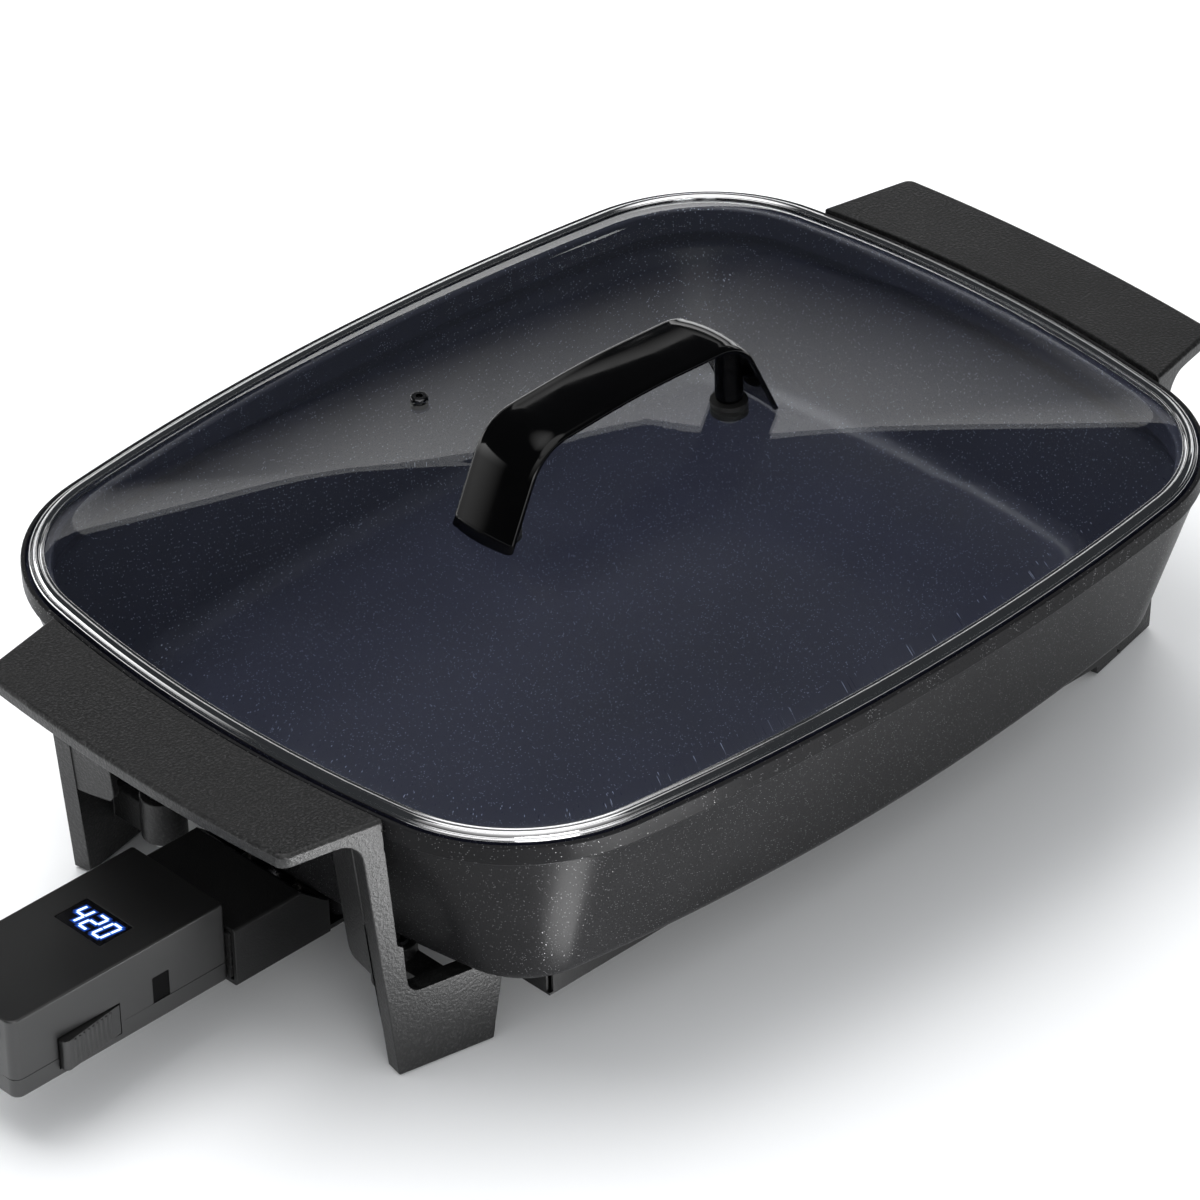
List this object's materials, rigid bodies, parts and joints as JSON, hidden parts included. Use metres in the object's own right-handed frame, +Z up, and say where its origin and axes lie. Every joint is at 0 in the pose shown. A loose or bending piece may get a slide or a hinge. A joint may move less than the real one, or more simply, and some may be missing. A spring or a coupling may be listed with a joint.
{
  "type": "electric griddle",
  "caption": "Deep electric griddle: rounded rectangular non-stick pan on two handle frames with legs, domed glass lid with bridge handle, plug-in digital temperature controller.",
  "frame": {"origin": "on the worktop, under the middle of the pan", "axes": "+Z up, +X along the pan away from the controller, +Y across it"},
  "size_m": [0.5823, 0.3348, 0.1737],
  "materials": {
    "cast_nonstick": "dark charcoal non-stick coating, satin with fine metallic fleck",
    "phenolic_black": "fine-textured matte black",
    "satin_black": "satin black moulded plastic",
    "gloss_black": "gloss black moulded plastic",
    "clear_glass": "clear tempered glass",
    "polished_steel": "polished stainless steel",
    "sheet_black": "black enamelled sheet steel",
    "element_sheath": "heat-darkened stainless sheath",
    "bare_steel": "zinc-plated steel",
    "contact_brass": "plated brass contacts",
    "rubber_black": "soft black rubber",
    "silicone_black": "black silicone",
    "window_black": "dark smoked window",
    "digit_glow": "lit blue-white digits",
    "board_green": "green circuit board",
    "relay_black": "black relay case"
  },
  "bodies": {
    "pan": {"pan_body": "cast_nonstick", "heating_element": "element_sheath", "element_clips": "bare_steel", "terminal_pins": "bare_steel", "probe_well": "bare_steel", "heat_shield": "sheet_black", "heat_shield_screws": "bare_steel", "controller_side_frame": "phenolic_black", "far_side_frame": "phenolic_black", "frame_screws_controller_side": "bare_steel", "frame_screws_far_side": "bare_steel", "foot_pads_controller_side": "rubber_black", "foot_pads_far_side": "rubber_black", "terminal_guard": "sheet_black", "guard_screws": "bare_steel"},
    "lid": {"lid_glass": "clear_glass", "lid_rim": "polished_steel", "lid_handle": "gloss_black", "handle_washers": "silicone_black", "handle_screws": "bare_steel", "steam_vent": "polished_steel"},
    "controller": {"controller_top_shell": "satin_black", "controller_bottom_shell": "satin_black", "shell_screws": "bare_steel", "controller_nose": "phenolic_black", "terminal_sockets": "contact_brass", "probe_rod": "bare_steel", "circuit_board": "board_green", "relay": "relay_black", "display_window": "window_black", "display_digits": "digit_glow", "side_windows": "window_black", "lever_pins": "bare_steel", "lever_spring_near": "bare_steel", "lever_spring_far": "bare_steel", "cord_gland": "rubber_black"},
    "near_lever": {"release_lever_near": "satin_black"},
    "far_lever": {"release_lever_far": "satin_black"},
    "minus": {"minus_button": "satin_black"},
    "power": {"power_button": "satin_black"},
    "plus": {"plus_button": "satin_black"}
  },
  "joints": [
    {"name": "lid_lift", "type": "slide", "parent": "pan", "child": "lid", "axis": [0, 0, 1], "range_m": [0, 0.3]},
    {"name": "controller_pull", "type": "slide", "parent": "pan", "child": "controller", "axis": [-1, 0, 0], "range_m": [0, 0.17]},
    {"name": "near_lever_squeeze", "type": "hinge", "parent": "controller", "child": "near_lever", "pos_m": [-0.2814, -0.0224, 0.0324], "axis": [0, 0, -1], "range_deg": [0, 3], "stiffness_Nm_per_rad": 0.6, "deforming": ["lever_spring_near"]},
    {"name": "far_lever_squeeze", "type": "hinge", "parent": "controller", "child": "far_lever", "pos_m": [-0.2814, 0.0224, 0.0324], "axis": [0, 0, 1], "range_deg": [0, 3], "stiffness_Nm_per_rad": 0.6, "deforming": ["lever_spring_far"]},
    {"name": "minus_press", "type": "slide", "parent": "controller", "child": "minus", "axis": [1, 0, 0], "range_m": [0, 0.001], "stiffness_N_per_m": 400},
    {"name": "power_press", "type": "slide", "parent": "controller", "child": "power", "axis": [1, 0, 0], "range_m": [0, 0.001], "stiffness_N_per_m": 400},
    {"name": "plus_press", "type": "slide", "parent": "controller", "child": "plus", "axis": [1, 0, 0], "range_m": [0, 0.001], "stiffness_N_per_m": 400}
  ]
}
